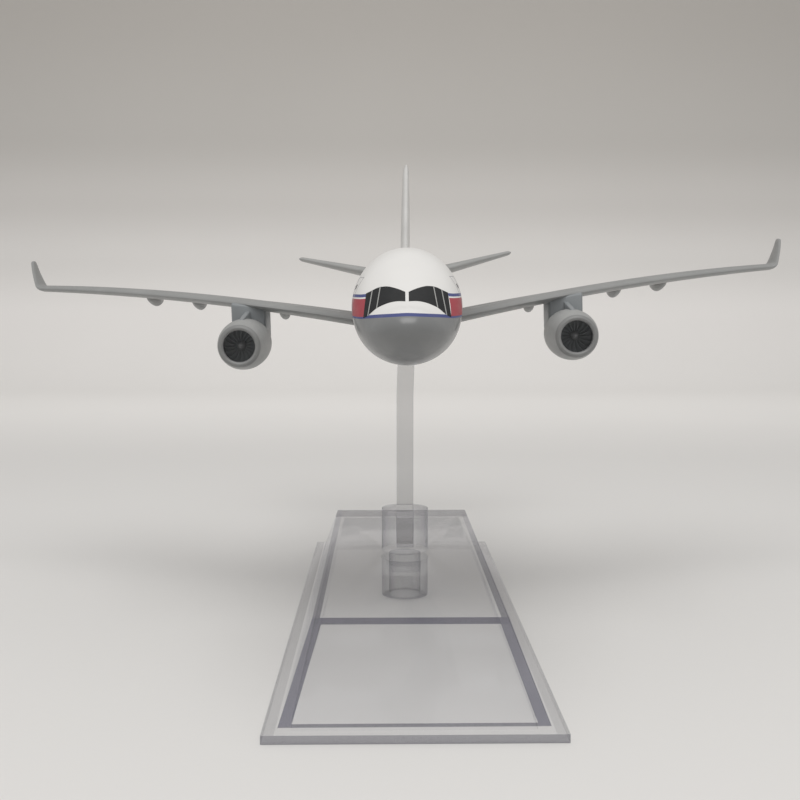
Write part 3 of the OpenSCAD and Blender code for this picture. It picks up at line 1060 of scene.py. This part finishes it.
def fan_parts(side):
    c = engine_centre(side, FAN_Y)
    disc = lathe([(0.3, 0.25), (DUCT_R - 0.05, 0.25), (DUCT_R - 0.05, 0.75), (0.3, 0.75)], c, 64)
    blades = []
    for k in range(BLADES):
        a = 2 * math.pi * k / BLADES
        rings = []
        for j in range(5):
            r = 0.6 + (DUCT_R - 0.12 - 0.6) * j / 4
            pitch = math.radians(25 + 32 * j / 4)
            half = 0.3 + 0.3 * j / 4
            lean = a + side * 0.18 * (j / 4) ** 2
            ring = []
            for s, w in ((-1, -0.04), (1, -0.04), (1, 0.04), (-1, 0.04)):
                across = s * half * math.sin(pitch) + w * math.cos(pitch)
                along = -s * half * math.cos(pitch) + w * math.sin(pitch)
                ring.append(
                    Vector(
                        (
                            c[0] + r * math.cos(lean) - side * across * math.sin(lean),
                            c[1] + along,
                            c[2] + r * math.sin(lean) + side * across * math.cos(lean),
                        )
                    )
                )
            rings.append(ring)
        blades.append(loft(rings))
    return join_parts([disc] + blades)


def hub(side):
    c = engine_centre(side, FAN_Y)
    profile = smooth_run([(0.02, -1.8), (0.3, -1.5), (0.58, -0.95), (0.78, -0.3), (0.82, 0.1)], 4)
    return lathe(profile + [(0.82, 0.5), (0.02, 0.5)], c, 48)


def core_parts(side):
    profile = [
        (0.05, 8.2),
        (DUCT_R - 0.05, 8.2),
        (DUCT_R - 0.05, 8.9),
        (CORE_R, 9.1),
        (CORE_R, 17),
        (2.35, 19),
        (2.1, 20.5),
        (1.85, 20.5),
        (1.8, 19.6),
        (1.35, 19.6),
        (1.2, 20.6),
        (0.7, 22.6),
        (0.25, 24),
        (0.05, 24.4),
    ]
    return lathe(profile, engine_centre(side), 64)


for side, word in ((1, "left"), (-1, "right")):
    fan = new_object(word + "_fan_blades", *fan_parts(side), sharp=30)
    finish_piece(fan, "aircraft", "dark_paint", [fan_metal], word + "_fan")
    spinner = new_object(word + "_fan_spinner", *hub(side), sharp=40)
    finish_piece(spinner, "aircraft", "dark_paint", [hub_paint])
    core = new_object(word + "_core_body", *core_parts(side), sharp=35)
    finish_piece(core, "aircraft", "exhaust_paint", [core_metal], word + "_core")


def rounded_ring(points, r, n=3):
    """Closed ring of points with its corners rounded, in the plane of the points."""
    ring = []
    m = len(points)
    for i in range(m):
        a, b, c = points[i - 1], points[i], points[(i + 1) % m]
        p = b + (a - b).normalized() * r
        q = b + (c - b).normalized() * r
        for k in range(n + 1):
            t = k / n
            ring.append(p * (1 - t) ** 2 + b * 2 * t * (1 - t) + q * t * t)
    return ring


def pylon_parts(side):
    """A block under the wing, as wide as the core, and a thin ridge that runs onto the cowl."""
    under = wing_z(ENGINE[0])
    rings = []
    for y, half, foot, top in (
        (61.15, 2.75, -6.9, under - 0.15),
        (61.4, 2.95, -7.2, under + 0.1),
        (64, 2.98, -7.3, under + 0.25),
        (68, 2.98, -7.3, under + 0.2),
        (71, 2.75, -6.4, under - 0.1),
        (74, 2.4, -4.6, under - 0.35),
        (76.6, 2.0, -2.6, under - 0.55),
    ):
        corners = [
            Vector((ENGINE[0] - half, y, foot)),
            Vector((ENGINE[0] + half, y, foot)),
            Vector((ENGINE[0] + half, y, top + 0.16 * half)),
            Vector((ENGINE[0] - half, y, top - 0.16 * half)),
        ]
        rings.append(rounded_ring(corners, 0.3))
    block = loft(rings)
    ridge_rings = []
    for y, top, half in (
        (53.2, ENGINE[2] + 4.25, 0.2),
        (54.2, ENGINE[2] + 4.6, 0.4),
        (56.5, ENGINE[2] + 4.95, 0.45),
        (59, ENGINE[2] + 5.25, 0.45),
        (61.2, under - 0.9, 0.45),
        (63.5, under - 0.6, 0.45),
    ):
        corners = [
            Vector((ENGINE[0] - half, y, ENGINE[2] + 3.6)),
            Vector((ENGINE[0] + half, y, ENGINE[2] + 3.6)),
            Vector((ENGINE[0] + half, y, top)),
            Vector((ENGINE[0] - half, y, top)),
        ]
        ridge_rings.append(rounded_ring(corners, min(0.22, half * 0.8)))
    parts = [block, loft(ridge_rings)]
    verts, faces = join_parts(parts)
    return [Vector((side * v.x, v.y, v.z)) for v in verts], faces


for side, word in ((1, "left"), (-1, "right")):
    pylon = new_object(word + "_pylon_body", *pylon_parts(side), sharp=50)
    finish_piece(pylon, "aircraft", "wing_grey_paint", [pylon_paint], word + "_pylon")


# ---------------------------------------------------------------- tail
FIN_LEAN = 2.3
FIN_TOP = 32.8
FIN_ROOT = (127.0, 23.0)
FIN_TIP = (149.5, 8.0)


def fin_rings():
    rings = []
    for k in range(25):
        s = k / 24
        c = FIN_ROOT[1] + (FIN_TIP[1] - FIN_ROOT[1]) * s
        y = FIN_ROOT[0] + (FIN_TIP[0] - FIN_ROOT[0]) * s
        z = 6 + (FIN_TOP - 6) * s
        shrink = 1.0
        if s > 0.97:
            q = (s - 0.97) / 0.03
            shrink = math.sqrt(max(0.0, 1 - 0.75 * q * q))
        ring = []
        for u, v in foil(0.1 + 0.09 * s, 16):
            ring.append(Vector((-c * (v - 0.004) * shrink, y + c * u, z)))
        rings.append(ring)
    lean = (
        Matrix.Translation((0, 0, CABIN_H))
        @ turn(FIN_LEAN, "Y")
        @ Matrix.Translation((0, 0, -CABIN_H))
    )
    return [[lean @ p for p in ring] for ring in rings]


fin = new_object("fin_skin", *loft(fin_rings()), sharp=45)
finish_piece(fin, "aircraft", "white_paint", [white_shaded_copy], "fin")

STAB_ROOT_X = 4.95
STAB_ROOT_Z = 4.4
STAB_X = 27.3
STAB_RISE = 5.2
STAB_TRIM = 3.5


def stab_rings(side):
    rings = []
    shares = [-0.1, -0.05] + [k / 24 for k in range(24)] + [0.975, 0.99, 1.0]
    for s in shares:
        c = 15 + (5.6 - 15) * s
        t = 0.2
        if s > 0.96:
            q = (s - 0.96) / 0.04
            t *= math.sqrt(max(0.02, 1 - q * q * 0.9))
            c *= 1 - 0.12 * q * q
        x, z = STAB_ROOT_X + (STAB_X - STAB_ROOT_X) * s, STAB_ROOT_Z + STAB_RISE * s + c * 0.02
        ring = foil_ring((x, 137 + 11 * s, z), c, t, STAB_TRIM, 13)
        rings.append([Vector((side * p.x, p.y, p.z)) for p in ring])
    return rings


for side, word in ((1, "left"), (-1, "right")):
    stab = new_object(word + "_stabiliser_skin", *loft(stab_rings(side)), sharp=45)
    finish_piece(stab, "aircraft", "wing_grey_paint", [wing_grey_lit_copy], word + "_stabiliser")


# ---------------------------------------------------------------- cockpit and cabin markings
# Lower edge and upper edge of each pane, from the middle outwards, as seen from the front
PANES = [
    (
        [(0.22, 0.8), (1.1, 0.82), (2.0, 0.7), (2.9, 0.42), (3.85, -0.02)],
        [(0.22, 1.95), (1.0, 2.28), (1.9, 2.55), (2.6, 2.66), (3.42, 2.6)],
    ),
    ([(3.85, -0.02), (4.3, -0.38), (4.98, -0.98)], [(3.42, 2.6), (3.95, 2.42), (4.46, 2.16)]),
    ([(4.98, -0.98), (5.6, -1.3)], [(4.46, 2.16), (5.28, 1.78)]),
]
POSTS = [((3.85, -0.02), (3.42, 2.6)), ((4.98, -0.98), (4.46, 2.16))]


def on_side(side, line):
    return [(side * x, z) for x, z in line]


panes = []
posts = []
for side in (1, -1):
    for low, high in PANES:
        panes.append(ruled(on_side(side, low), on_side(side, high), 14, 10))
    for low, high in POSTS:
        near = on_side(side, [(low[0] - 0.06, low[1]), (low[0] + 0.06, low[1] - 0.05)])
        far = on_side(side, [(high[0] - 0.06, high[1]), (high[0] + 0.06, high[1])])
        posts.append(ruled(near, far, 1, 12))
cockpit = decal("cockpit_panes", panes)
finish_piece(cockpit, "aircraft", "dark_paint", [pane_paint])
window_posts = decal("cockpit_posts", posts, 0.055)
finish_piece(window_posts, "aircraft", "white_paint", [post_paint])


def side_patch(y0, y1, z0, z1, side, n=2, m=3, slant=0.0):
    rows = []
    for j in range(m + 1):
        z = z0 + (z1 - z0) * j / m
        rows.append(
            [side_spot(y0 + (y1 - y0) * i / n + slant * (z - z0), z, side) for i in range(n + 1)]
        )
    return rows


WINDOW_Z = 2.3
WINDOW_PITCH = 1.45
DOOR_YS = (14.0, 38.5, 91.5, 122.5)
windows = []
for side in (1, -1):
    k = 0
    while True:
        y = 18.5 + WINDOW_PITCH * k
        k += 1
        if y > 119:
            break
        if any(abs(y - d) < 2.1 for d in DOOR_YS):
            continue
        lift = 0.0 if y < 104 else (body(y)[1] - body(104)[1]) * 0.5
        windows.append(
            side_patch(y - 0.27, y + 0.27, WINDOW_Z - 0.38 + lift, WINDOW_Z + 0.38 + lift, side, 1, 2)
        )
cabin_windows = decal("cabin_windows", windows, 0.03)
finish_piece(cabin_windows, "aircraft", "dark_paint", [pane_paint])

doors = []
lights = []
for side in (1, -1):
    for d in DOOR_YS:
        rise = 0.0 if d < 104 else (body(d)[1] - body(104)[1]) * 0.5
        low, high, half, t = -0.9 + rise, 3.9 + rise, 1.3, 0.07
        doors.append(side_patch(d - half, d - half + t, low, high, side, 1, 14))
        doors.append(side_patch(d + half - t, d + half, low, high, side, 1, 14))
        doors.append(side_patch(d - half, d + half, high - t, high, side, 6, 1))
        doors.append(side_patch(d - half, d + half, low, low + t, side, 6, 1))
        lights.append(side_patch(d - 0.25, d + 0.25, 2.3 + rise, 2.9 + rise, side, 1, 2))
door_lines = decal("door_lines", doors, 0.03)
finish_piece(door_lines, "aircraft", "dark_paint", [line_paint])
door_windows = decal("door_windows", lights, 0.03)
finish_piece(door_windows, "aircraft", "dark_paint", [pane_paint])


# ---------------------------------------------------------------- pieces that keep the CAD mesh
for node, mat in (
    ("wing_carrier", zinc),
    ("wing_screws", screw_steel),
    ("shell_screws", screw_steel),
):
    mesh = NODES[node].data
    mesh.materials.clear()
    mesh.materials.append(mat)


# ---------------------------------------------------------------- stand
bush = new_object(
    "peg_bush_body",
    *lathe(
        [
            (1.54, 0.15),
            (1.69, 0.0),
            (BUSH_R - 0.15, 0.0),
            (BUSH_R, 0.15),
            (BUSH_R, BUSH_L),
            (0.05, BUSH_L),
            (0.05, 5.7),
            (1.54, 5.7),
        ],
        (ARM_BEND, 0, SHOULDER_Z),
        64,
        "Z",
    ),
    UPRIGHT,
)
finish_piece(bush, "bush", "black_plastic", [black_plastic], "peg_bush")

base = softened("stand_base", "stand_base_body", 0.22, 3, 25)
finish_piece(base, "stand", "clear_plastic", [clear_base], "stand_base")
arm = softened("stand_arm", "stand_arm_body", 0.28, 3, 25)
finish_piece(arm, "arm", "clear_plastic", [clear_arm], "stand_arm")


# ---------------------------------------------------------------- floor and backdrop
def sweep_floor():
    """A pale sheet that runs level under the stand and curves up behind it."""
    front, bend, radius, high = -420.0, 560.0, 260.0, 620.0
    path = [(front, 0.0), (bend, 0.0)]
    for i in range(1, 25):
        a = math.pi / 2 * i / 24
        path.append((bend + radius * math.sin(a), radius * (1 - math.cos(a))))
    path.append((bend + radius, high))
    xs = [-900 + 1800 * i / 12 for i in range(13)]
    verts = [Vector((x, y, z)) for y, z in path for x in xs]
    n = len(xs)
    faces = [
        (j * n + i, j * n + i + 1, (j + 1) * n + i + 1, (j + 1) * n + i)
        for j in range(len(path) - 1)
        for i in range(n - 1)
    ]
    return verts, faces


def floor_material():
    t = Tree("floor_sheet")
    parts = t.add("ShaderNodeSeparateXYZ", {0: t.coord.outputs["Object"]})
    level = t.spread(parts.outputs["Z"], 0, 1, 0.0, 0.5)
    # Painted shade: rise darkens the sheet as it curves up behind, standing in for less light on the
    # backdrop's top.
    rise = t.ramp(
        level,
        [
            (0.0, (1, 1, 1, 1)),
            (0.106, (0.99, 0.985, 0.985, 1)),
            (0.21, (0.85, 0.845, 0.84, 1)),
            (0.32, (0.71, 0.70, 0.69, 1)),
            (0.44, (0.60, 0.59, 0.575, 1)),
            (0.7, (0.545, 0.53, 0.51, 1)),
        ],
        "EASE",
    )
    # Painted light: the floor lightens further back, standing in for the light falling there.
    far_floor_painted_light = t.ramp(
        t.spread(parts.outputs["Y"], 0, 1, 0.0, 0.5),
        [(0.0, (0.775, 0.765, 0.75, 1)), (1.0, (0.88, 0.865, 0.845, 1))],
        "EASE",
    )
    sheet = t.add("ShaderNodeMix", data_type="RGBA", blend_type="MULTIPLY")
    sheet.inputs[0].default_value = 1
    t.put(sheet.inputs[6], rise)
    t.put(sheet.inputs[7], far_floor_painted_light)
    painted_light_and_shade = sheet.outputs[2]
    fine = t.noise(700, 3)
    mottled = t.add("ShaderNodeMix", data_type="RGBA", blend_type="MULTIPLY")
    mottled.inputs[0].default_value = 1
    t.put(mottled.inputs[6], painted_light_and_shade)
    t.put(mottled.inputs[7], t.blend(t.noise(9, 2), (0.97, 0.97, 0.97, 1), (1, 1, 1, 1)))
    bsdf = t.add(
        "ShaderNodeBsdfPrincipled",
        {
            "Base Color": mottled.outputs[2],
            "Roughness": t.spread(fine, 0.62, 0.75),
            "Specular IOR Level": 0.25,
            "Normal": t.bump(fine, 0.04, 0.00005),
        },
    )
    t.links.new(bsdf.outputs[0], t.out.inputs[0])
    return t.mat


floor = new_object("floor_sheet", *sweep_floor(), UPRIGHT, sharp=60)
floor.data.materials.append(floor_material())


# ---------------------------------------------------------------- lights
def area(name, place, target, size, power, colour=(1, 1, 1)):
    data = bpy.data.lights.new(name, "AREA")
    data.shape = "RECTANGLE"
    data.size, data.size_y = size[0] * MM, size[1] * MM
    data.energy = power
    data.color = colour
    obj = bpy.data.objects.new(name, data)
    bpy.context.scene.collection.objects.link(obj)
    obj.location = Vector(place) * MM
    aim = (Vector(target) - Vector(place)).normalized()
    obj.rotation_euler = aim.to_track_quat("-Z", "Y").to_euler()
    return obj


area("top_light", (0, -190, 470), (0, 20, 20), (420, 320), 1.0, (1, 0.99, 0.975))
area("back_light", (0, 330, 330), (0, 800, 150), (700, 160), 0.5, (1, 0.99, 0.975))

world = bpy.data.worlds.new("room")
bpy.context.scene.world = world
world.use_nodes = True
back = world.node_tree.nodes["Background"]
back.inputs["Color"].default_value = (1, 0.99, 0.98, 1)
back.inputs["Strength"].default_value = 0.63


# ---------------------------------------------------------------- camera
CAMERA_AT = (-3.85, -203.08, 53.6)
CAMERA_YAW = 0.828
CAMERA_DOWN = 4.5
FOCAL = 48.35

camera_data = bpy.data.cameras.new("camera")
camera_data.sensor_width = 36
camera_data.lens = FOCAL
camera_data.clip_start = 0.01
camera_data.clip_end = 10
camera = bpy.data.objects.new("camera", camera_data)
bpy.context.scene.collection.objects.link(camera)
camera.location = Vector(CAMERA_AT) * MM
camera.rotation_euler = (math.radians(90 - CAMERA_DOWN), 0, math.radians(-CAMERA_YAW))
bpy.context.scene.camera = camera
bpy.context.scene.view_settings.view_transform = "Standard"
